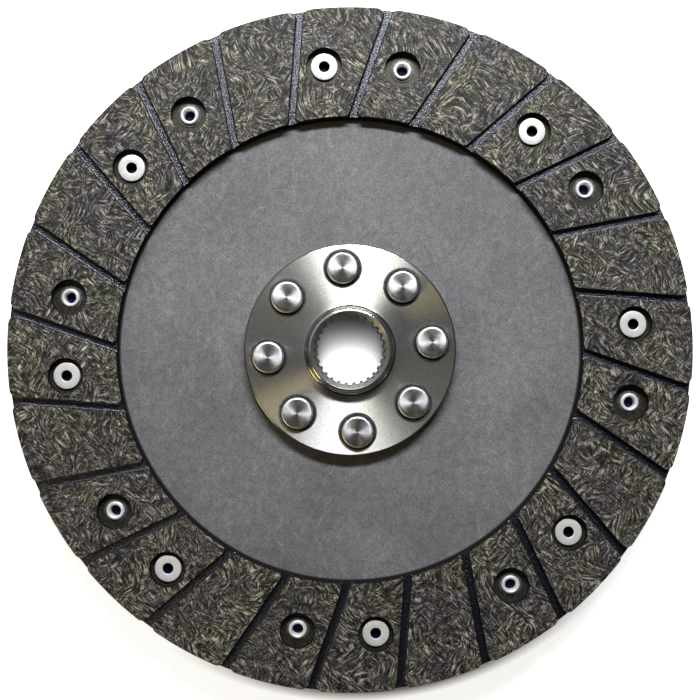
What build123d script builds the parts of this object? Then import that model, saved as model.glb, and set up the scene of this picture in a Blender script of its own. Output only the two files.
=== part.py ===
"""Rigid clutch disc: two riveted organic facings on a one-piece carrier plate, with a splined hub.

Millimetres. The origin is on the disc's axis, in the middle of the carrier plate's thickness.
+Z points to the gearbox, on whose side the hub flange lies, and -Z points to the flywheel.
Rivets, their holes and their seats repeat over a hundred times, so each is drawn with a few
flats, corner to corner across its real diameter. Everything else that is round is truly round.
"""
from build123d import *
import math
import os

# Friction facings: one moulding, used on both sides
facing_od = 228.0
facing_id = 155.6
facing_thickness = 3.5
pad_count = 24
groove_width = 2.8
groove_depth = 1.5
groove_offset = 25.0  # how far each straight groove's centre line misses the axis
groove_angle = 70.7  # direction of the first groove
pad_corner = 1.8  # length of the corner bevels where the grooves run out

# Carrier plate
plate_thickness = 1.2
plate_edge_inset = 1.0  # the plate's rim lies this far inside the facings' rim
plate_bore_clearance = 0.1

# Facing rivets
facing_rivet_circle = 190.0
facing_rivets_per_side = 8
head_angle = 95.2  # the first head that shows on the gear side
tail_turn = -15.8  # from each head to the next tail on the same facing
facing_rivet_shank = 5.0
facing_rivet_head = 8.9
facing_rivet_head_height = 0.9
facing_rivet_tail = 7.8
facing_rivet_tail_height = 1.1
facing_rivet_roll = 0.8  # bevel that stands for the tail's rolled edge
counterbore_diameter = 12.0
counterbore_depth = 2.3

# Hub forging
spline_teeth = 28
spline_minor = 22.4
spline_major = 23.9
spline_tip_gap = 0.62  # share of the pitch that is open at the tooth tips
spline_root_gap = 0.38  # share of the pitch that is open at the tooth roots
spline_shelf = 0.2  # flat ring outside the tooth roots, where the lead-in cone ends
bore_lead_in = 26.0
flange_diameter = 70.5
flange_thickness = 4.0
nose_diameter = 27.8
nose_height = 4.0
nose_foot = 2.8  # width and height of the sloping foot that joins the nose to the flange
barrel_diameter = 32.0
barrel_length = 12.0  # from the plate to the flywheel end
barrel_bevel = 1.0

# Hub rivets
hub_rivet_circle = 54.5
hub_rivet_count = 8
hub_rivet_shank = 6.5
hub_rivet_head = 10.4
hub_rivet_head_height = 2.6
hub_rivet_tail = 10.0
hub_rivet_tail_height = 1.8
hub_rivet_crown = 1.6  # bevel of the crowned head
hub_rivet_tail_bevel = 1.0
spot_face_diameter = 12.9
spot_face_depth = 0.6

# Every rivet feature
rivet_sides = 9

# Heights along the axis
gear_face = plate_thickness / 2
flywheel_face = -plate_thickness / 2
pad_face = gear_face + facing_thickness
counterbore_floor = pad_face - counterbore_depth
flange_face = gear_face + flange_thickness
spot_face_floor = flange_face - spot_face_depth
nose_face = flange_face + nose_height
barrel_face = flywheel_face - barrel_length


def ring(outer, inner):
    return Circle(outer / 2) - Circle(inner / 2)


def flats(diameter):
    """Outline of a rivet, hole or seat."""
    return RegularPolygon(diameter / 2, rivet_sides)


def prism(outline, low, high):
    """The outline, extruded between two heights."""
    return extrude(Pos(0, 0, low) * outline, high - low)


def crowned(diameter, seat, end, bevel):
    """A rivet's head or tail, from its seat to its end, with the end's edge bevelled."""
    low, high = sorted((seat, end))
    body = prism(flats(diameter), low, high)
    rim = body.edges().filter_by_position(Axis.Z, end, end)
    return chamfer(rim, bevel)


def head_stations():
    """Where the gear-side facing holds the heads of facing rivets."""
    return PolarLocations(facing_rivet_circle / 2, facing_rivets_per_side, start_angle=head_angle)


def tail_stations():
    """Where the gear-side facing holds rolled tails."""
    start = head_angle + tail_turn
    return PolarLocations(facing_rivet_circle / 2, facing_rivets_per_side, start_angle=start)


def hub_rivet_stations():
    """The hub rivets stand on the same spokes as the heads of the facing rivets."""
    return PolarLocations(hub_rivet_circle / 2, hub_rivet_count, start_angle=head_angle)


def pads():
    """The raised pads: a ring cut by the straight grooves, with its corners bevelled."""
    slot = Pos(facing_od / 2, groove_offset) * Rectangle(facing_od, groove_width)
    pitch = 360 / pad_count
    grooves = [Rot(0, 0, groove_angle + i * pitch) * slot for i in range(pad_count)]
    outlines = ring(facing_od, facing_id) - grooves
    outlines = chamfer(outlines.vertices(), pad_corner)
    return prism(outlines, pad_face - groove_depth, pad_face)


def facing():
    """The gear-side facing: base ring and pads, with a stepped hole at each rivet."""
    base = prism(ring(facing_od, facing_id), gear_face, pad_face - groove_depth)
    counterbore = prism(flats(counterbore_diameter), counterbore_floor, pad_face)
    hole = prism(flats(facing_rivet_shank), gear_face, pad_face)
    stations = [*head_stations(), *tail_stations()]
    return base + pads() - [place * tool for place in stations for tool in (counterbore, hole)]


def turned_over(shape):
    """Turned over about the spoke half-way between a head and a tail, which swaps the two."""
    spoke = math.radians(head_angle + tail_turn / 2)
    return shape.rotate(Axis((0, 0, 0), (math.cos(spoke), math.sin(spoke), 0)), 180)


def carrier_plate():
    """Flat sheet disc, centred on the hub's barrel and pierced for every rivet."""
    disc = ring(facing_od - 2 * plate_edge_inset, barrel_diameter + 2 * plate_bore_clearance)
    disc -= [place * flats(facing_rivet_shank) for place in (*head_stations(), *tail_stations())]
    disc -= [place * flats(hub_rivet_shank) for place in hub_rivet_stations()]
    return prism(disc, flywheel_face, gear_face)


def facing_rivet():
    """Head on the gear-side facing, shank through the plate, tail rolled over on the other facing."""
    head_top = counterbore_floor + facing_rivet_head_height
    head = prism(flats(facing_rivet_head), counterbore_floor, head_top)
    shank = prism(flats(facing_rivet_shank), -counterbore_floor, counterbore_floor)
    tail_end = -counterbore_floor - facing_rivet_tail_height
    tail = crowned(facing_rivet_tail, -counterbore_floor, tail_end, facing_rivet_roll)
    return head + shank + tail


def hub_rivet():
    """Crowned head in its spot face on the flange, tail upset on the far side of the plate."""
    head_top = spot_face_floor + hub_rivet_head_height
    head = crowned(hub_rivet_head, spot_face_floor, head_top, hub_rivet_crown)
    shank = prism(flats(hub_rivet_shank), flywheel_face, spot_face_floor)
    tail_end = flywheel_face - hub_rivet_tail_height
    tail = crowned(hub_rivet_tail, flywheel_face, tail_end, hub_rivet_tail_bevel)
    return head + shank + tail


def at_each(stations, piece):
    """Separate copies of a piece, one at each station."""
    return Compound(children=[place * piece for place in stations])


def hub():
    """Forged hub: turned flange, nose and barrel, with a broached bore and pierced flange."""
    bore, lead_in, nose = spline_minor / 2, bore_lead_in / 2, nose_diameter / 2
    flange, barrel = flange_diameter / 2, barrel_diameter / 2
    shelf = spline_major / 2 + spline_shelf
    lead_in_depth = lead_in - shelf
    half_section = [
        (bore, nose_face - lead_in_depth),
        (shelf, nose_face - lead_in_depth),
        (lead_in, nose_face),
        (nose, nose_face),
        (nose, flange_face + nose_foot),
        (nose + nose_foot, flange_face),
        (flange, flange_face),
        (flange, gear_face),
        (barrel, gear_face),
        (barrel, barrel_face + barrel_bevel),
        (barrel - barrel_bevel, barrel_face),
        (lead_in, barrel_face),
        (shelf, barrel_face + lead_in_depth),
        (bore, barrel_face + lead_in_depth),
    ]
    body = revolve(make_face(Plane.XZ * Polyline(*half_section, close=True)), Axis.Z)
    return body - spline_spaces() - [place * hub_rivet_seat() for place in hub_rivet_stations()]


def spline_spaces():
    """The broached spaces between the internal teeth, right through the bore."""
    tip_radius, root_radius = spline_minor / 2, spline_major / 2
    pitch_angle = 2 * math.pi / spline_teeth
    tip_half = tip_radius * pitch_angle * spline_tip_gap / 2
    root_half = root_radius * pitch_angle * spline_root_gap / 2
    inside = tip_radius - (root_radius - tip_radius)
    outline = [
        (inside, tip_half),
        (tip_radius, tip_half),
        (root_radius, root_half),
        (root_radius, -root_half),
        (tip_radius, -tip_half),
        (inside, -tip_half),
    ]
    space = prism(make_face(Polyline(*outline, close=True)), barrel_face, nose_face)
    return [Rot(0, 0, i * 360 / spline_teeth) * space for i in range(spline_teeth)]


def hub_rivet_seat():
    """One rivet hole through the flange, with the spot face that its head sits in."""
    hole = prism(flats(hub_rivet_shank), gear_face, flange_face)
    return hole + prism(flats(spot_face_diameter), spot_face_floor, flange_face)


gear_side_facing = facing()
gear_side_rivets = at_each(head_stations(), facing_rivet())
nodes = {
    "hub": hub(),
    "carrier_plate": carrier_plate(),
    "facing_gear_side": gear_side_facing,
    "facing_flywheel_side": turned_over(gear_side_facing),
    "facing_rivets_gear_side": gear_side_rivets,
    "facing_rivets_flywheel_side": turned_over(gear_side_rivets),
    "hub_rivets": at_each(hub_rivet_stations(), hub_rivet()),
}
os.makedirs("parts", exist_ok=True)
for name, shape in nodes.items():
    export_step(shape, f"parts/{name}.step")
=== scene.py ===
"""Looks of a rigid clutch disc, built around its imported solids.

Metres. The axis is Z, +Z points to the gearbox, and the origin is in the middle of the plate.
"""
import math

import bmesh
import bpy
from mathutils import Matrix, Vector


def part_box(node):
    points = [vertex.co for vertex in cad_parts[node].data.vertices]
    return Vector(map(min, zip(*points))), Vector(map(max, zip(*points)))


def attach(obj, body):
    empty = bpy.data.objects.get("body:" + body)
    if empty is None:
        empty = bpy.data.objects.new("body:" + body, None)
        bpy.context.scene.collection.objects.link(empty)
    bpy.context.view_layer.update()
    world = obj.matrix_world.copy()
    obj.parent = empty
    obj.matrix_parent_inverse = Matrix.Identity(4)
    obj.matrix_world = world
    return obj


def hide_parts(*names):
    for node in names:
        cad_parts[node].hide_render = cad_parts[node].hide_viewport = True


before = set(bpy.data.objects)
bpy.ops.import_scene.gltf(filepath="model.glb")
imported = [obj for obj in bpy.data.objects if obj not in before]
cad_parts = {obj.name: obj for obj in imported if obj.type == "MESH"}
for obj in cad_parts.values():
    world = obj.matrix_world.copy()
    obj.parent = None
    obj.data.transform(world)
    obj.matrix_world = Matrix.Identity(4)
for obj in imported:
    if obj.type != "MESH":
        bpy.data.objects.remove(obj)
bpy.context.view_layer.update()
mm = 0.001

# --- Carrier plate -------------------------------------------------------------------------
# One flat disc of cold-rolled sheet steel, blanked and pierced. It keeps its dull, blue-grey
# mill surface, with a fine grain and faint handling smears. Along the facings' bore it is
# painted near-black as shade. The facings and the hub rivet to it.
facing_bore = 77.8 * mm
noise_core = (0.35, 0.65)  # most of a noise lies between these
noise_reach = (0.30, 0.70)  # and nearly all of it between these


class Nodes:
    """Short ways to add nodes to a node tree."""

    def __init__(self, tree):
        self.tree = tree

    def plug(self, socket, value):
        """Links a socket to an output, or sets it to a plain value."""
        if isinstance(value, bpy.types.NodeSocket):
            self.tree.links.new(value, socket)
        else:
            socket.default_value = value

    def node(self, kind, inputs=None, **settings):
        """Adds a node of that kind, with its inputs and its settings."""
        made = self.tree.nodes.new("ShaderNode" + kind)
        for name, value in settings.items():
            setattr(made, name, value)
        for name, value in (inputs or {}).items():
            self.plug(made.inputs[name], value)
        return made

    def math(self, operation, *values):
        return self.node("Math", dict(enumerate(values)), operation=operation).outputs[0]

    def vector(self, operation, *values):
        """Vector maths. Its first output is a vector, and "Value" is a plain number."""
        return self.node("VectorMath", dict(enumerate(values)), operation=operation).outputs

    def fade(self, factor, low, high, start=0.0, end=1.0):
        """A factor between two values, spread over a new range."""
        spread = {"Value": factor, "From Min": low, "From Max": high,
                  "To Min": start, "To Max": end}
        return self.node("MapRange", spread).outputs["Result"]


class Finish(Nodes):
    """A surface finish: one material and its principled shader, on Object coordinates."""

    def __init__(self, name):
        self.material = bpy.data.materials.new(name)
        self.material.use_nodes = True
        super().__init__(self.material.node_tree)
        self.shader = self.tree.nodes["Principled BSDF"]
        self.place = self.node("TexCoord").outputs["Object"]

    def noise(self, scale, detail=2.0, stretch=(1, 1, 1), **inputs):
        """Noise of so many waves to the metre, stretched along the object's axes."""
        where = self.node("Mapping", {"Vector": self.place, "Scale": stretch})
        found = {"Vector": where.outputs[0], "Scale": scale, "Detail": detail, **inputs}
        return self.node("TexNoise", found).outputs["Fac"]

    def ramp(self, factor, *stops):
        """Colours along a factor, each stop a position and a linear colour."""
        made = self.node("ValToRGB", {"Fac": factor})
        points = made.color_ramp.elements
        while len(points) < len(stops):
            points.new(1.0)
        for point, (position, colour) in zip(points, stops):
            point.position = position
            point.color = (*colour, 1.0)
        return made.outputs["Color"]

    def tones(self, factor, dark, light, span=noise_core):
        """A ramp from a dark tone to a light one, over the span of a noise."""
        return self.ramp(factor, (span[0], dark), (span[1], light))

    def mix(self, factor, first, second, blend="MIX"):
        made = self.node("Mix", data_type="RGBA", blend_type=blend)
        self.plug(made.inputs[0], factor)
        self.plug(made.inputs[6], first)
        self.plug(made.inputs[7], second)
        return made.outputs[2]

    def times(self, tone, factor):
        """A tone multiplied by a factor, or by another tone."""
        return self.mix(1.0, tone, factor, "MULTIPLY")

    def bump(self, height, depth):
        """A bump as deep as that many metres at full height."""
        made = self.node("Bump", {"Height": height, "Distance": depth, "Strength": 1.0})
        return made.outputs["Normal"]

    def from_axis(self):
        """The distance from the disc's axis."""
        level = self.vector("MULTIPLY", self.place, (1, 1, 0))[0]
        return self.vector("LENGTH", level)["Value"]

    def set(self, **values):
        """Sets sockets of the shader, named with underscores for spaces."""
        for name, value in values.items():
            self.plug(self.shader.inputs[name.replace("_", " ")], value)


sheet = Finish("mill_sheet_steel")
sheet_cloud = sheet.noise(28, 4)
sheet_grain = sheet.noise(2600, 2)
sheet_smear = sheet.noise(55, 3, stretch=(1, 0.35, 1), Distortion=1.6)
sheet_tone = sheet.tones(sheet_cloud, (0.158, 0.158, 0.170), (0.228, 0.228, 0.240), noise_reach)
smear_line = sheet.ramp(sheet_smear, (0.485, (0, 0, 0)), (0.5, (1, 1, 1)), (0.515, (0, 0, 0)))
smear_line = sheet.math("MULTIPLY", smear_line, 0.16)
sheet_tone = sheet.mix(smear_line, sheet_tone, (0.42, 0.42, 0.44, 1))
sheet_mottle = sheet.fade(sheet.noise(330, 3), *noise_core, 0.90, 1.10)
sheet_dust = sheet.math("MULTIPLY", sheet_mottle, sheet.fade(sheet_grain, *noise_core, 0.70, 1.30))
sheet_tone = sheet.times(sheet_tone, sheet_dust)
# Painted shade: the plate darkens to near-black over the last millimetre before the facings' bore,
# and stays so under the facings.
painted_bore_shade = sheet.fade(sheet.from_axis(), facing_bore - 1.0 * mm, facing_bore - 0.4 * mm)
sheet_tone = sheet.mix(painted_bore_shade, sheet_tone, (0.008, 0.008, 0.009, 1))
sheet.set(Base_Color=sheet_tone, Metallic=0.15,
          Roughness=sheet.fade(sheet_cloud, *noise_reach, 0.66, 0.74),
          Normal=sheet.bump(sheet_grain, 0.02 * mm))
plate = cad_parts["carrier_plate"]
plate.data.materials.clear()
plate.data.materials.append(sheet.material)

# --- Friction facings ----------------------------------------------------------------------
# Two like rings of yarn and resin, moulded with 24 pads between straight grooves and then
# ground, so fibres show on the pads and a dark skin stays in the grooves. The far one is
# turned over. Stepped holes take the rivets, heads and tails by turns.
facing_low, facing_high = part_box("facing_gear_side")
rim = facing_high.x
pad_face = facing_high.z
facing_foot = facing_low.z
pad_count = 24
groove_half = 1.4 * mm
groove_floor = pad_face - 1.5 * mm
groove_offset = 25 * mm  # how far a groove's middle line misses the axis
groove_angle = math.radians(70.7)
groove_fillet = 0.55 * mm
outer_corner = 2.1 * mm
inner_corner = 1.3 * mm
edge_break = 0.12 * mm
rivet_circle = 95 * mm
rivets_per_side = 8
rivet_pitch = 2 * math.pi / rivets_per_side
head_angle = math.radians(95.2)
tail_angle = math.radians(79.4)
stations = [start + i * rivet_pitch
            for start in (head_angle, tail_angle) for i in range(rivets_per_side)]
rivet_axes = [Vector((rivet_circle * math.cos(angle), rivet_circle * math.sin(angle)))
              for angle in stations]
counterbore = 6.0 * mm
counterbore_floor = pad_face - 2.3 * mm
shank = 2.5 * mm
overshoot = 2 * mm  # how far a cutter reaches past the body it cuts
hair = 0.05 * mm  # a difference in height too small to matter
ring_steps = 240
hole_steps = 56


def turned(bm, profile, steps, closed=True):
    """Spins a profile of (radius, height) points round the axis."""
    points = [bm.verts.new((radius, 0, height)) for radius, height in profile]
    ends = zip(points, points[1:] + points[:1] if closed else points[1:])
    edges = [bm.edges.new(pair) for pair in ends]
    bmesh.ops.spin(bm, geom=points + edges, axis=(0, 0, 1), cent=(0, 0, 0), angle=2 * math.pi,
                   steps=steps, use_merge=True)
    bmesh.ops.remove_doubles(bm, verts=bm.verts, dist=0.0005 * mm)
    bmesh.ops.recalc_face_normals(bm, faces=bm.faces)
    return bm


def arc(centre, radius, start, end, count):
    """Points on an arc, with its angles in degrees."""
    steps = [math.radians(start + (end - start) * i / count) for i in range(count + 1)]
    return [(centre[0] + radius * math.cos(a), centre[1] + radius * math.sin(a)) for a in steps]


def prism(bm, outline, low, high):
    """Extrudes a flat outline of (x, y) points between two heights."""
    face = bm.faces.new([bm.verts.new((x, y, low)) for x, y in outline])
    made = bmesh.ops.extrude_face_region(bm, geom=[face])
    risen = [item for item in made["geom"] if isinstance(item, bmesh.types.BMVert)]
    bmesh.ops.translate(bm, verts=risen, vec=(0, 0, high - low))


def repeated(bm, angles, reach=0.0):
    """Copies all of a mesh, moved out by reach, to each angle round the axis."""
    bmesh.ops.translate(bm, verts=bm.verts, vec=(reach, 0, 0))
    first = list(bm.verts) + list(bm.edges) + list(bm.faces)
    for angle in angles:
        copy = bmesh.ops.duplicate(bm, geom=first)["geom"]
        points = [item for item in copy if isinstance(item, bmesh.types.BMVert)]
        turn = Matrix.Rotation(angle, 3, "Z")
        bmesh.ops.rotate(bm, verts=points, cent=(0, 0, 0), matrix=turn)
    bmesh.ops.delete(bm, geom=[item for item in first if isinstance(item, bmesh.types.BMVert)])
    return bm


def piece(bm, name, *finishes):
    """Makes a mesh object of a finished bmesh, with its materials."""
    bmesh.ops.recalc_face_normals(bm, faces=bm.faces)
    mesh = bpy.data.meshes.new(name)
    bm.to_mesh(mesh)
    bm.free()
    for finish in finishes:
        mesh.materials.append(finish.material)
    made = bpy.data.objects.new(name, mesh)
    bpy.context.scene.collection.objects.link(made)
    return made


def applied(body):
    """Turns a body's modifiers into its mesh."""
    bpy.context.view_layer.update()
    graph = bpy.context.evaluated_depsgraph_get()
    mesh = bpy.data.meshes.new_from_object(body.evaluated_get(graph))
    body.modifiers.clear()
    body.data = mesh


def cut(body, tools):
    """Takes the tools' volume from a body, and removes the tools."""
    boolean = body.modifiers.new("cut", "BOOLEAN")
    boolean.operation = "DIFFERENCE"
    boolean.solver = "EXACT"
    boolean.object = tools
    applied(body)
    bpy.data.objects.remove(tools)


def softened(body, width):
    """Breaks the sharp edges of a body by that width."""
    bevel = body.modifiers.new("edges", "BEVEL")
    bevel.width = width
    bevel.segments = 2
    bevel.limit_method = "ANGLE"
    bevel.angle_limit = math.radians(35)
    bevel.harden_normals = False
    applied(body)


def shaded(body, angle=30):
    """Shades a body smooth, with its level faces flat and its edges sharp past an angle."""
    bm = bmesh.new()
    bm.from_mesh(body.data)
    for face in bm.faces:
        face.smooth = abs(face.normal.z) < 0.9999
    for edge in bm.edges:
        edge.smooth = len(edge.link_faces) == 2 and edge.calc_face_angle() < math.radians(angle)
    bm.to_mesh(body.data)
    bm.free()


def pad_corner_arc(circle, side, outer):
    """The rounded corner where a groove's side meets a rim, from the groove to the rim."""
    corner = outer_corner if outer else inner_corner
    inset = -corner if outer else corner
    across = groove_offset + side * (groove_half + corner)
    along = math.sqrt((circle + inset) ** 2 - across ** 2)
    end = math.degrees(math.atan2(across, along)) + (0 if outer else 180)
    start = -90 * side
    turn = (end - start + 180) % 360 - 180
    return arc((along, across), corner, start, start + turn, 8)


def groove_outline():
    """One groove seen from above, flaring into the pad corners at both ends."""
    sides = []
    for side in (-1, 1):
        inner = pad_corner_arc(facing_bore, side, False)[::-1]
        outer = pad_corner_arc(rim, side, True)
        inside, outside = Vector(inner[0]), Vector(outer[-1])
        inside *= 1 - overshoot / inside.length
        outside *= 1 + overshoot / outside.length
        sides.append([tuple(inside), *inner, *outer, tuple(outside)])
    return sides[0] + sides[1][::-1]


def groove_cutters():
    """The bodies of all the grooves, with a small fillet along their floors."""
    grooves = bmesh.new()
    prism(grooves, groove_outline(), groove_floor, pad_face + overshoot)
    foot = [edge for edge in grooves.edges
            if all(point.co.z < groove_floor + hair for point in edge.verts)]
    bmesh.ops.bevel(grooves, geom=foot, affect="EDGES", offset=groove_fillet, segments=3,
                    profile=0.5, material=-1)
    pitch = 2 * math.pi / pad_count
    repeated(grooves, [groove_angle + i * pitch for i in range(pad_count)])
    return piece(grooves, "groove_cutters")


def hole_cutters():
    """The bodies of all the stepped holes: a shank hole under a wide counterbore."""
    bottom, top = facing_foot - overshoot, pad_face + overshoot
    step = [(0, bottom), (shank, bottom), (shank, counterbore_floor),
            (counterbore, counterbore_floor), (counterbore, top), (0, top)]
    hole = turned(bmesh.new(), step, hole_steps, closed=False)
    return piece(repeated(hole, stations, rivet_circle), "hole_cutters")


def made_facing(name):
    """One facing, turned, grooved and drilled, with its edges broken."""
    section = [(facing_bore, facing_foot), (rim, facing_foot), (rim, pad_face),
               (facing_bore, pad_face)]
    body = piece(turned(bmesh.new(), section, ring_steps), name,
                 ground_face, moulded_skin, drilled_fibre, matte_wall)
    cut(body, groove_cutters())
    cut(body, hole_cutters())
    softened(body, edge_break)
    return body


def skinned(body):
    """Gives the faces below a facing's ground pads their skin, drilled fibre or matte wall."""
    for face in body.data.polygons:
        drilled = (abs(face.center.z - counterbore_floor) < hair
                   and any((face.center.xy - axis).length < counterbore for axis in rivet_axes))
        ground = face.center.z > pad_face - edge_break - 0.01 * mm
        upright = abs(face.normal.z) < 0.5 and face.center.xy.length < rim - 0.3 * mm
        face.material_index = 0 if ground else 2 if drilled else 3 if upright else 1


def yarn(finish, place, turn, thickness, length, detail=2.0):
    """Strands laid at one angle, as noise drawn out along it."""
    laid = {"Vector": place, "Location": (0.03 * turn, 0.05 * turn, 0),
            "Rotation": (0, 0, turn), "Scale": (length, thickness, 1)}
    laid = finish.node("Mapping", laid, vector_type="TEXTURE").outputs[0]
    found = {"Vector": laid, "Scale": 0.6, "Detail": detail, "Roughness": 0.55}
    return finish.node("TexNoise", found).outputs["Fac"]


def felted(finish, place):
    """Many lays of fine and coarse strands, each showing in its own patches, with a grain."""
    felt = finish.noise(1500, 5, Roughness=0.7)
    lay_count = 7
    for lay in range(lay_count):
        turn = 0.3 + math.pi * lay * 3 / lay_count
        fine = yarn(finish, place, turn, (0.24 + 0.03 * (lay % 3)) * mm,
                    (1.1 + 0.3 * (lay % 4)) * mm, 3.0)
        coarse = yarn(finish, place, turn + 0.2, (0.50 + 0.06 * (lay % 3)) * mm,
                      (2.4 + 0.4 * (lay % 2)) * mm)
        coarse = finish.math("MULTIPLY_ADD", coarse, 0.75, -0.275)
        strands = finish.math("MULTIPLY_ADD", fine, 0.80, coarse)
        patch = finish.noise(85 + 9 * lay, 2, stretch=(1, 1 + 0.1 * lay, 1))
        felt = finish.mix(finish.fade(patch, 0.50, 0.58), felt, strands)
    grain = finish.noise(2300, 3, Roughness=0.65)
    return finish.math("ADD", felt, finish.fade(grain, *noise_reach, -0.09, 0.09))


ground_face = Finish("ground_fibre_face")
curl = {"Vector": ground_face.place, "Scale": 50, "Detail": 1.0}
curl = ground_face.node("TexNoise", curl).outputs["Color"]
curl = ground_face.vector("MULTIPLY_ADD", curl, (15 * mm, 15 * mm, 0), (-7.5 * mm, -7.5 * mm, 0))[0]
curled = ground_face.vector("ADD", ground_face.place, curl)[0]
felt = felted(ground_face, curled)
face_tone = ground_face.ramp(felt, (0.38, (0.003, 0.003, 0.004)), (0.47, (0.028, 0.026, 0.025)),
                             (0.555, (0.105, 0.101, 0.092)), (0.68, (0.44, 0.43, 0.39)))
for turn, thickness, length in ((0.9, 0.34 * mm, 8 * mm), (2.7, 0.30 * mm, 6 * mm)):
    long_strands = yarn(ground_face, curled, turn, thickness, length, 1.0)
    long_strands = ground_face.fade(long_strands, 0.68, 0.78, 0, 0.5)
    face_tone = ground_face.mix(long_strands, face_tone, (0.34, 0.33, 0.28, 1))
clump = ground_face.fade(ground_face.noise(300, 2), 0.33, 0.67, 0.62, 1.38)
hue = ground_face.ramp(ground_face.noise(85, 3), (0.36, (0.80, 0.77, 0.87)),
                       (0.5, (1.0, 0.98, 0.95)), (0.64, (1.16, 1.14, 0.96)))
tint = {"Vector": ground_face.place, "Scale": 520, "Detail": 2}
tint = ground_face.node("TexNoise", tint).outputs["Color"]
tint = ground_face.vector("MULTIPLY_ADD", tint, (0.5, 0.4, 0.6), (0.75, 0.8, 0.7))[0]
for shift in (clump, hue, tint):
    face_tone = ground_face.times(face_tone, shift)
speck = ground_face.fade(ground_face.noise(1300, 2, stretch=(1, 0.55, 1)), 0.67, 0.75, 0, 0.7)
face_tone = ground_face.mix(speck, face_tone, (0.42, 0.42, 0.36, 1))
ground_face.set(Base_Color=face_tone, Roughness=0.6, Specular_IOR_Level=0.35,
                Normal=ground_face.bump(felt, 0.10 * mm))

moulded_skin = Finish("moulded_resin_skin")
skin_weave = moulded_skin.noise(1500, 4, Roughness=0.6)
skin_fleck = moulded_skin.fade(moulded_skin.noise(1900, 2, Roughness=0.6), 0.38, 0.62, 0.30, 1.60)
moulded_skin.set(Base_Color=moulded_skin.tones(skin_weave, (0.002, 0.002, 0.004),
                                               (0.011, 0.010, 0.018)),
                 Roughness=0.28, Specular_IOR_Level=skin_fleck, IOR=1.6,
                 Specular_Tint=(0.84, 0.86, 1.0, 1),
                 Normal=moulded_skin.bump(skin_weave, 0.30 * mm))

drilled_fibre = Finish("drilled_fibre")
drilled_felt = drilled_fibre.noise(1500, 5)
drilled_fibre.set(Base_Color=drilled_fibre.tones(drilled_felt, (0.006, 0.005, 0.005),
                                                 (0.045, 0.042, 0.032)),
                  Roughness=0.4, Specular_IOR_Level=0.8, Specular_Tint=(1.0, 0.96, 0.74, 1),
                  Normal=drilled_fibre.bump(drilled_felt, 0.05 * mm))

matte_wall = Finish("matte_moulded_wall")
wall_weave = matte_wall.noise(1500, 4, Roughness=0.6)
matte_wall.set(Base_Color=matte_wall.tones(wall_weave, (0.003, 0.003, 0.004),
                                           (0.016, 0.015, 0.018)),
               Roughness=0.75, Specular_IOR_Level=0.12,
               Normal=matte_wall.bump(wall_weave, 0.15 * mm))

gear_side = made_facing("gear_side_facing")
skinned(gear_side)
half_spoke = (head_angle + tail_angle) / 2
turn_axis = Vector((math.cos(half_spoke), math.sin(half_spoke), 0))
turn_over = Matrix.Rotation(math.pi, 4, turn_axis)


def turned_over(body, name):
    """A copy of a piece, turned over for the flywheel side, which swaps heads and tails."""
    mesh = body.data.copy()
    mesh.transform(turn_over)
    made = bpy.data.objects.new(name, mesh)
    bpy.context.scene.collection.objects.link(made)
    return made


flywheel_side = turned_over(gear_side, "flywheel_side_facing")
for facing, node in ((gear_side, "facing_gear_side"), (flywheel_side, "facing_flywheel_side")):
    shaded(facing)
    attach(facing, "root")
    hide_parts(node)

# --- Facing rivets -------------------------------------------------------------------------
# Bright plated tubular rivets. Each has a thin flat head on one facing, goes through the
# plate, and is rolled over on the other facing into a narrow ring with a sloping shoulder in
# a dark bluish grey. The bore is painted near-black blue as shade.
head_radius = 4.45 * mm
head_height = 0.9 * mm
tail_radius = 3.9 * mm
tail_height = 1.1 * mm
tube_bore = 1.8 * mm
tail_bore = 1.65 * mm
seat = counterbore_floor
rivet_steps = 40


def tube_profile():
    """Half section of a rivet: head above, rolled tail below, both hollow down to a web."""
    top = seat + head_height
    end = -seat - tail_height
    edge = 0.22 * mm
    web = 0.3 * mm
    head = [(0, web), (tube_bore, web), *arc((tube_bore + edge, top - edge), edge, 180, 90, 4),
            *arc((head_radius - edge, top - 1.2 * edge), edge, 85, -20, 5),
            (head_radius - 0.1 * mm, seat)]
    roll = 0.62 * mm
    crest = tail_bore + roll + 0.2 * mm
    tail = [(tail_radius, -seat), (tail_radius - 0.08 * mm, -seat - 0.25 * mm),
            (crest + 0.9 * roll, -seat - 0.32 * mm),
            *arc((crest, end + roll), roll, 10, -180, 9), (crest - roll, -web), (0, -web)]
    return [*head, (shank, seat), (shank, -seat), *tail]


plating = Finish("bright_plating")
plating_haze = plating.noise(700, 3)
plating.set(Base_Color=plating.tones(plating_haze, (0.92, 0.92, 0.93), (0.98, 0.98, 0.98),
                                     noise_reach),
            Metallic=0.35, Roughness=plating.fade(plating_haze, *noise_reach, 0.35, 0.45),
            Normal=plating.bump(plating_haze, 0.01 * mm))
# Painted shade: the rivets' bores are near-black blue.
rivet_bore_shade = Finish("rivet_bore_painted_shade")
rivet_bore_shade.set(Base_Color=(0.004, 0.004, 0.03, 1), Roughness=0.6, Specular_IOR_Level=0.1)
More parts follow.
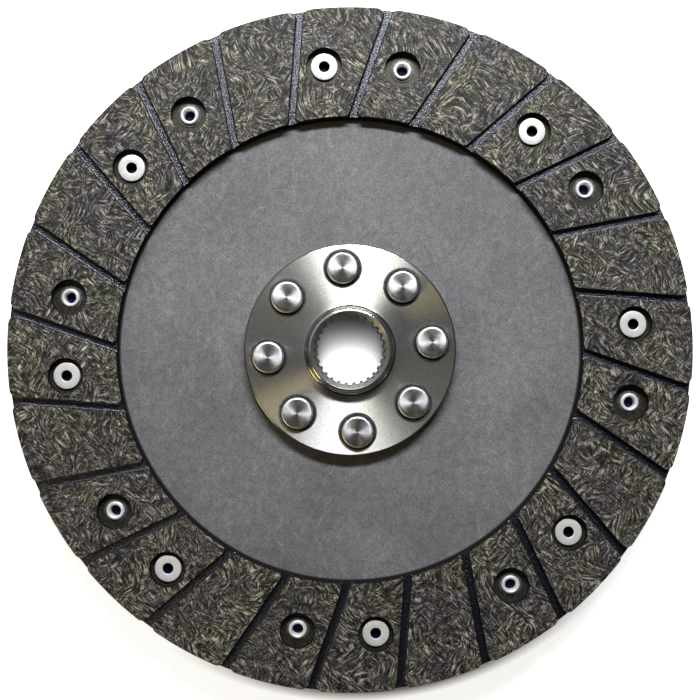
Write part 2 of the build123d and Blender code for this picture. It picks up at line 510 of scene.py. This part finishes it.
# The rolled tail's shoulder takes a dark bluish grey tone.
dark_shoulder_plating = Finish("dark_shoulder_plating")
dark_shoulder_plating.set(Base_Color=dark_shoulder_plating.tones(dark_shoulder_plating.noise(900, 3), (0.05, 0.05, 0.07),
                                               (0.16, 0.16, 0.20)),
                 Metallic=0.4, Roughness=0.5)
tube = turned(bmesh.new(), tube_profile(), rivet_steps, closed=False)
head_stations = stations[:rivets_per_side]
gear_rivets = piece(repeated(tube, head_stations, rivet_circle), "gear_side_facing_rivets",
                    plating, rivet_bore_shade, dark_shoulder_plating)
for face in gear_rivets.data.polygons:
    out = min((face.center.xy - axis).length for axis in rivet_axes[:rivets_per_side])
    in_bore = (out < tube_bore + 0.01 * mm
               and -seat - tail_height + 0.6 * mm < face.center.z < seat + head_height - 0.2 * mm)
    on_shoulder = out > 3.1 * mm and -seat - 0.5 * mm < face.center.z < 0
    face.material_index = 1 if in_bore else 2 if on_shoulder else 0
flywheel_rivets = turned_over(gear_rivets, "flywheel_side_facing_rivets")
for group, node in ((gear_rivets, "facing_rivets_gear_side"),
                    (flywheel_rivets, "facing_rivets_flywheel_side")):
    shaded(group, 40)
    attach(group, "root")
    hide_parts(node)

# --- Splined hub ---------------------------------------------------------------------------
# One steel forging, turned all over: a flange faced with fine circular tool marks, a short
# nose that runs into it with a hollow fillet, and a barrel. The nose and the flange's brow
# are polished. The nose's outer round, its hollow fillet and the brow are painted dark grey
# as shade, and the spot faces near-black as shade. 28 internal teeth are broached, and spot
# faces seat the hub rivets' heads.
hub_low, hub_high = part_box("hub")
nose_face = hub_high.z
barrel_face = hub_low.z
flange_radius = hub_high.x
plate_low, plate_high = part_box("carrier_plate")
flange_seat = plate_high.z
flange_face = flange_seat + 4.0 * mm
nose_radius = 13.9 * mm
nose_fillet = 2.0 * mm
nose_foot = nose_radius + nose_fillet
barrel_radius = 16 * mm
lead_in = 12.9 * mm
tooth_tip = 11.2 * mm
tooth_root = 11.95 * mm
spline_teeth = 28
tip_gap = 0.62  # share of the pitch that is open at the tips, and at the roots
root_gap = 0.38
spot_face = 6.45 * mm
spot_face_wall = 0.6 * mm
spot_face_floor = flange_face - 0.6 * mm
hub_rivet_circle = 27.25 * mm
hub_rivet_count = 8
hub_angles = [head_angle + i * 2 * math.pi / hub_rivet_count for i in range(hub_rivet_count)]
hub_steps = 192
seat_steps = 64


def hub_profile():
    """Half section of the hub, from the tooth tips round the outside."""
    cone = lead_in - tooth_tip
    nick = 0.1 * mm
    edge = 0.3 * mm
    brow = 0.5 * mm
    barrel_edge = 3 * edge
    nose_round = nose_radius - lead_in
    return [(tooth_tip, nose_face - cone), (lead_in - nick, nose_face - nick),
            *arc((nose_radius - nose_round, nose_face - nose_round), nose_round, 90, 0, 6),
            *arc((nose_foot, flange_face + nose_fillet), nose_fillet, 180, 270, 10),
            *arc((flange_radius - brow, flange_face - brow), brow, 90, 0, 5),
            *arc((flange_radius - edge, flange_seat + edge), edge, 0, -90, 4),
            (barrel_radius, flange_seat),
            *arc((barrel_radius - barrel_edge, barrel_face + barrel_edge), barrel_edge, 0, -90, 5),
            (lead_in + nick, barrel_face), (lead_in - nick, barrel_face + nick),
            (tooth_tip, barrel_face + cone)]


def broach():
    """The spaces between the teeth, as one star of prisms through the bore."""
    pitch = 2 * math.pi / spline_teeth
    inside = 2 * tooth_tip - tooth_root
    tip, root = tooth_tip * pitch * tip_gap / 2, tooth_root * pitch * root_gap / 2
    half = [(inside, tip), (tooth_tip, tip), (tooth_root, root)]
    outline = half + [(x, -y) for x, y in reversed(half)]
    space = bmesh.new()
    prism(space, outline[::-1], barrel_face - overshoot, nose_face + overshoot)
    return repeated(space, [i * pitch for i in range(spline_teeth)])


def spot_facers():
    """The bodies of all the spot faces: a flat floor and a sloping wall."""
    top = flange_face + overshoot
    section = [(0, spot_face_floor), (spot_face - spot_face_wall, spot_face_floor),
               (spot_face, flange_face), (spot_face + overshoot, top), (0, top)]
    return repeated(turned(bmesh.new(), section, seat_steps, closed=False),
                    hub_angles, hub_rivet_circle)


turned_steel = Finish("face_turned_steel")
radius = turned_steel.from_axis()
rings = {"W": radius, "Scale": 9000, "Detail": 3}
rings = turned_steel.node("TexNoise", rings, noise_dimensions="1D").outputs["Fac"]
round_way = turned_steel.vector("CROSS_PRODUCT", (0, 0, 1), turned_steel.place)[0]
surface_way = turned_steel.node("NewGeometry").outputs["Normal"]
along_section = turned_steel.vector("CROSS_PRODUCT", surface_way, round_way)[0]
along_section = turned_steel.vector("NORMALIZE", along_section)[0]
on_nose = turned_steel.math(
    "MULTIPLY", turned_steel.fade(radius, lead_in, lead_in + 0.1 * mm),
    turned_steel.fade(radius, nose_foot - 0.9 * mm, nose_foot - 0.3 * mm, 1.0, 0.0))
on_brow = turned_steel.fade(radius, flange_radius - 0.6 * mm, flange_radius - 0.4 * mm)
polish = turned_steel.math("ADD", on_nose, on_brow)
corner_painted_shade = turned_steel.fade(radius, nose_radius - 0.6 * mm, nose_radius - 0.3 * mm)
corner_painted_shade = turned_steel.math("MULTIPLY", on_nose, corner_painted_shade)
steel_tone = turned_steel.ramp(turned_steel.noise(38, 3), (0.38, (0.95, 0.95, 0.97)),
                               (0.62, (0.91, 0.90, 0.82)))
steel_grain = turned_steel.fade(turned_steel.noise(1800, 3), *noise_reach, 0.84, 1.14)
steel_tone = turned_steel.times(steel_tone, steel_grain)
# Painted shade: the nose's outer round and hollow fillet and the flange's brow are darkened to a
# grey of 0.24.
steel_tone = turned_steel.mix(turned_steel.math("ADD", corner_painted_shade, on_brow), steel_tone,
                              (0.24, 0.24, 0.23, 1))
turned_steel.set(Base_Color=steel_tone, Metallic=0.95,
                 Roughness=turned_steel.fade(polish, 0, 1, 0.43, 0.15),
                 Anisotropic=turned_steel.fade(polish, 0, 1, 0.92, 0.0),
                 Tangent=along_section, Normal=turned_steel.bump(rings, 0.012 * mm))

broached_steel = Finish("broached_steel")
broach_marks = broached_steel.noise(900, 3, stretch=(1, 1, 0.1))
broached_steel.set(Base_Color=broached_steel.tones(broach_marks, (0.34, 0.34, 0.35),
                                                   (0.60, 0.60, 0.58)),
                   Metallic=1.0, Roughness=0.34,
                   Normal=broached_steel.bump(broach_marks, 0.02 * mm))
chamfer_steel = Finish("chamfered_steel")
chamfer_steel.set(Base_Color=chamfer_steel.tones(chamfer_steel.noise(900, 3),
                                                 (0.38, 0.38, 0.39), (0.52, 0.52, 0.50)),
                  Metallic=1.0, Roughness=0.5)
# Painted shade: the spot faces round the rivet heads are near-black.
spot_face_shade = Finish("spot_face_painted_shade")
spot_face_shade.set(Base_Color=spot_face_shade.tones(spot_face_shade.noise(1500, 3), (0.012, 0.012, 0.014),
                                           (0.05, 0.05, 0.05)),
               Metallic=0.5, Roughness=0.6)

hub = piece(turned(bmesh.new(), hub_profile(), hub_steps), "splined_hub",
            turned_steel, broached_steel, spot_face_shade, chamfer_steel)
cut(hub, piece(broach(), "broach_cutters"))
cut(hub, piece(spot_facers(), "spot_face_cutters"))
for face in hub.data.polygons:
    out = face.center.xy.length
    tilt = abs(face.normal.z)
    bored = out < lead_in and tilt < 0.3
    chamfered = out < lead_in - 0.15 * mm and tilt < 0.9
    seated = abs(face.center.z - spot_face_floor) < hair and out > nose_foot
    walled = (spot_face_floor + hair < face.center.z < flange_face - hair
              and nose_foot < out < flange_radius - 0.6 * mm)
    face.material_index = 1 if bored or walled else 3 if chamfered else 2 if seated else 0
shaded(hub, 32)
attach(hub, "root")
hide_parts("hub")

# --- Hub rivets ----------------------------------------------------------------------------
# Eight solid steel rivets. Their button heads are pressed down on the spot faces, with a
# low crown and a rounded edge, and their tails are upset flat on the plate's far side.
button_radius = 5.2 * mm
button_height = 2.6 * mm
button_tail = 5.0 * mm
button_tail_height = 1.8 * mm
button_shank = 3.25 * mm
button_steps = 48


def button_profile():
    """Half section of a hub rivet, closed on the axis: a shallow crown with a rounded edge."""
    top = spot_face_floor + button_height
    bottom = plate_low.z - button_tail_height
    crown = 70 * mm
    edge = 0.7 * mm
    brow = button_radius - edge
    rise = crown - math.sqrt(crown ** 2 - brow ** 2)
    slope = 90 - math.degrees(math.asin(brow / crown))
    head = [*arc((0, top - crown), crown, 90, slope, 5)[:-1],
            *arc((brow, top - rise - edge), edge, slope, 0, 8),
            (button_radius - 0.05 * mm, spot_face_floor)]
    upset = 1.0 * mm
    tail = [(button_shank, plate_low.z), (button_tail, plate_low.z),
            *arc((button_tail - upset, bottom + upset), upset, 0, -90, 5), (0, bottom)]
    return [*head, (button_shank, spot_face_floor), *tail]


button_steel = Finish("pressed_steel")
button_haze = button_steel.noise(500, 3)
button_way = button_steel.node("NewGeometry").outputs["Normal"]
across_slope = button_steel.vector("CROSS_PRODUCT", button_way, (0, 0, 1))[0]
button_steel.set(Base_Color=(0.80, 0.80, 0.83, 1), Metallic=1.0, Anisotropic=0.75,
                 Roughness=button_steel.fade(button_haze, *noise_reach, 0.36, 0.5),
                 Tangent=button_steel.vector("NORMALIZE", across_slope)[0],
                 Normal=button_steel.bump(button_haze, 0.08 * mm))
button = turned(bmesh.new(), button_profile(), button_steps, closed=False)
hub_rivets = piece(repeated(button, hub_angles, hub_rivet_circle), "flange_rivets", button_steel)
shaded(hub_rivets, 40)
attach(hub_rivets, "root")
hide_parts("hub_rivets")

# --- Floor, lights and camera --------------------------------------------------------------
# A plain white floor under the barrel's end, one wide soft lamp beyond the disc's top edge,
# a small warm card low at the left, a dark room with one soft glow, and a camera on the axis
# that looks straight down. The floor looks white, with painted shade: no glow under the disc,
# a glow that fades in over a thin ring past the rim, and a painted shadow crescent below the
# disc's lower edge. Through the bore, a painted pool of light shows on its lower part.
floor_size = 3.0
bore_shade = 12.1 * mm  # how far the light in the bore reaches from its middle
lamp_place, lamp_width, lamp_depth, lamp_power = (0.03, 0.44, 0.43), 0.42, 0.06, 4.8
card_place, card_width, card_power = (-0.42, -0.30, 0.20), 0.16, 0.55
glow_way = (-0.62, 0.70, 0.35)
room_light, glow_light = 0.014, 0.33
camera_height = 0.304
camera_lens = 46.4

floor_mesh = bmesh.new()
bmesh.ops.create_grid(floor_mesh, x_segments=1, y_segments=1, size=floor_size)
bmesh.ops.translate(floor_mesh, verts=floor_mesh.verts, vec=(0, 0, barrel_face))
white_floor = Finish("white_floor")
away = white_floor.from_axis()
toward_shade = white_floor.vector("DOT_PRODUCT", white_floor.place, (0.14, -0.99, 0))["Value"]
# Painted shadow: a crescent below the disc's lower edge where the floor's glow dims.
painted_floor_shadow = white_floor.math("MULTIPLY", white_floor.fade(away, 1.055 * rim, 1.083 * rim, 1, 0),
                            white_floor.fade(toward_shade, 0.82 * rim, 1.07 * rim))
open_floor = white_floor.math("MULTIPLY", white_floor.math("SUBTRACT", 1.0, painted_floor_shadow),
                              white_floor.fade(away, rim, 5 * rim, 0.82, 1.0))
# Painted shade: the glow is nothing under the disc and fades in over a thin ring past the rim.
open_floor = white_floor.math("MULTIPLY", open_floor, white_floor.fade(away, rim, 1.03 * rim))
side_way, up_way, _ = white_floor.node("SeparateXYZ", {"Vector": white_floor.place}).outputs
# Painted light: a pool on the floor inside the bore, brightest at its lower side, seen by the
# camera only.
down_bore = white_floor.fade(up_way, bore_shade, -bore_shade, 0, 2)
down_bore = white_floor.math("POWER", down_bore, 2.5)
mid_bore = white_floor.math("MULTIPLY", side_way, side_way)
mid_bore = white_floor.fade(mid_bore, 0, bore_shade ** 2, 1, 0)
painted_bore_light = white_floor.math("MULTIPLY", down_bore, mid_bore)
painted_bore_light = white_floor.math("MULTIPLY", painted_bore_light, white_floor.math("LESS_THAN", away, lead_in))
floor_rays = white_floor.node("LightPath").outputs
shown = white_floor.math("MAXIMUM", floor_rays["Is Camera Ray"], floor_rays["Is Glossy Ray"])
shown = white_floor.math("MAXIMUM", shown, floor_rays["Is Transmission Ray"])
painted_bore_light = white_floor.math("MULTIPLY", floor_rays["Is Camera Ray"], painted_bore_light)
white_floor.set(Base_Color=(0.9, 0.9, 0.9, 1), Roughness=0.9, Emission_Color=(1, 1, 1, 1),
                Emission_Strength=white_floor.math("MULTIPLY_ADD", shown, open_floor, painted_bore_light))
floor = piece(floor_mesh, "floor", white_floor)


def soft_lamp(name, place, width, depth, power, colour=(1, 1, 1)):
    """A rectangular area lamp that faces the disc's middle."""
    lamp = bpy.data.lights.new(name, "AREA")
    lamp.shape = "RECTANGLE"
    lamp.size = width
    lamp.size_y = depth
    lamp.energy = power
    lamp.color = colour
    made = bpy.data.objects.new(name, lamp)
    made.location = place
    made.rotation_euler = Vector(place).to_track_quat("Z", "Y").to_euler()
    bpy.context.scene.collection.objects.link(made)


soft_lamp("top_lamp", lamp_place, lamp_width, lamp_depth, lamp_power)
soft_lamp("warm_card", card_place, card_width, card_width, card_power, (1.0, 0.82, 0.38))

world = bpy.data.worlds.new("studio")
world.use_nodes = True
bpy.context.scene.world = world
sky = Nodes(world.node_tree)
direction = sky.node("TexCoord").outputs["Generated"]
toward_glow = sky.vector("DOT_PRODUCT", direction, glow_way)["Value"]
sky_light = sky.fade(toward_glow, 0.55, 0.95, room_light, glow_light)
sky_rays = sky.node("LightPath").outputs
mirrored = sky.math("MAXIMUM", sky_rays["Is Glossy Ray"], sky_rays["Is Transmission Ray"])
upward = sky.node("SeparateXYZ", {"Vector": direction}).outputs["Z"]
white_horizon = sky.math("MULTIPLY", mirrored, sky.fade(upward, 0.05, 0.0))
sky_light = sky.math("MAXIMUM", sky_light, sky_rays["Is Camera Ray"])
sky_light = sky.math("MAXIMUM", sky_light, white_horizon)
background = sky.tree.nodes["Background"]
sky.plug(background.inputs["Strength"], sky_light)
sky.plug(background.inputs["Color"], (1, 1, 1, 1))

lens = bpy.data.cameras.new("camera")
lens.lens = camera_lens
lens.sensor_width = 36
lens.clip_start = 0.01
camera = bpy.data.objects.new("camera", lens)
camera.location = (0, 0, camera_height)
bpy.context.scene.collection.objects.link(camera)
bpy.context.scene.camera = camera
bpy.context.scene.view_settings.view_transform = "Standard"
